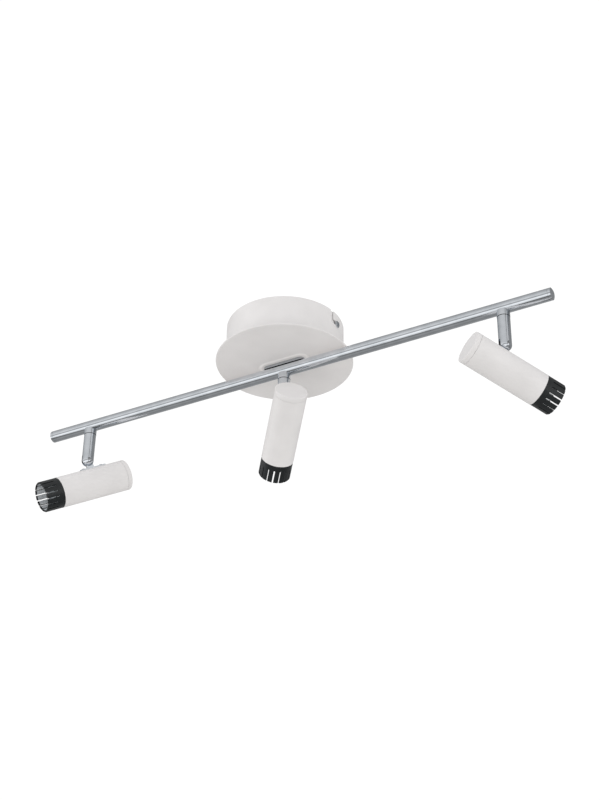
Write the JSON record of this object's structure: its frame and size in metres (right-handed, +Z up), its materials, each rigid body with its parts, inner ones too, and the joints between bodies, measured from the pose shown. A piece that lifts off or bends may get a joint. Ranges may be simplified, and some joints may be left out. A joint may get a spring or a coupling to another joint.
{
  "type": "ceiling spot bar",
  "caption": "Ceiling light: white round canopy with a cover disc, a slim chrome bar below it, and white tube spots with slotted black rings that swivel and tilt on chrome arms.",
  "frame": {"origin": "centre of the ceiling bracket's top face, in the plane of the ceiling", "axes": "+X along the bar, +Z up into the ceiling, +Y completes the set; the middle head's rest aim is towards -X +Y"},
  "size_m": [0.552, 0.1334, 0.153],
  "materials": {
    "white_paint": "semi-matte powder coat",
    "chrome": "polished",
    "black_paint": "satin",
    "zinc_steel": "zinc plated",
    "grey_plastic": "matte",
    "circuit_board": "green solder mask",
    "white_plastic": "matte",
    "brass": "plain",
    "brown_insulation": "smooth",
    "red_insulation": "smooth",
    "aluminium": "extruded",
    "led_white": "white board",
    "clear_lens": "clear"
  },
  "bodies": {
    "canopy": {"ceiling_bracket": "white_paint", "side_screws": "chrome", "canopy_cup": "white_paint", "canopy_disc": "white_paint", "bar_block": "chrome", "block_screws": "zinc_steel", "clinch_nuts": "zinc_steel", "wire_bush": "grey_plastic", "bar_tube": "chrome", "bar_end_caps": "chrome", "driver_case": "grey_plastic", "driver_lid": "grey_plastic", "driver_board": "circuit_board", "terminal_block": "white_plastic", "terminal_screws": "brass", "earth_screw": "brass", "canopy_wires": "brown_insulation", "bar_wires": "red_insulation", "swivel_washers": "grey_plastic", "left_stub": "chrome", "middle_stub": "chrome", "right_stub": "chrome"},
    "left_swivel": {"left_arm": "chrome", "left_swivel_clip": "zinc_steel", "left_arm_lead": "grey_plastic", "left_tilt_pin": "zinc_steel"},
    "left_head": {"left_saddle": "chrome", "left_saddle_screws": "chrome", "left_tube": "white_paint", "left_rear_cap": "white_paint", "left_slotted_ring": "black_paint", "left_heat_sink": "aluminium", "left_led_board": "led_white", "left_lens": "clear_lens"},
    "middle_swivel": {"middle_arm": "chrome", "middle_swivel_clip": "zinc_steel", "middle_arm_lead": "grey_plastic", "middle_tilt_pin": "zinc_steel"},
    "middle_head": {"middle_saddle": "chrome", "middle_saddle_screws": "chrome", "middle_tube": "white_paint", "middle_rear_cap": "white_paint", "middle_slotted_ring": "black_paint", "middle_heat_sink": "aluminium", "middle_led_board": "led_white", "middle_lens": "clear_lens"},
    "right_swivel": {"right_arm": "chrome", "right_swivel_clip": "zinc_steel", "right_arm_lead": "grey_plastic", "right_tilt_pin": "zinc_steel"},
    "right_head": {"right_saddle": "chrome", "right_saddle_screws": "chrome", "right_tube": "white_paint", "right_rear_cap": "white_paint", "right_slotted_ring": "black_paint", "right_heat_sink": "aluminium", "right_led_board": "led_white", "right_lens": "clear_lens"}
  },
  "joints": [
    {"name": "left_turn", "type": "hinge", "parent": "canopy", "child": "left_swivel", "pos_m": [-0.227, 0, -0.06], "axis": [0, 0, 1], "range_deg": [-170, 170]},
    {"name": "left_tilt", "type": "hinge", "parent": "left_swivel", "child": "left_head", "pos_m": [-0.227, 0, -0.0886], "axis": [0.7716, -0.6361, 0], "range_deg": [-58, 62]},
    {"name": "middle_turn", "type": "hinge", "parent": "canopy", "child": "middle_swivel", "pos_m": [0, 0, -0.06], "axis": [0, 0, 1], "range_deg": [-170, 170]},
    {"name": "middle_tilt", "type": "hinge", "parent": "middle_swivel", "child": "middle_head", "pos_m": [0, 0, -0.0886], "axis": [-0.766, -0.6428, 0], "range_deg": [-58.5, 61.5]},
    {"name": "right_turn", "type": "hinge", "parent": "canopy", "child": "right_swivel", "pos_m": [0.227, 0, -0.06], "axis": [0, 0, 1], "range_deg": [-170, 170]},
    {"name": "right_tilt", "type": "hinge", "parent": "right_swivel", "child": "right_head", "pos_m": [0.227, 0, -0.0886], "axis": [-0.8039, 0.5948, 0], "range_deg": [-49.5, 70.5]}
  ]
}
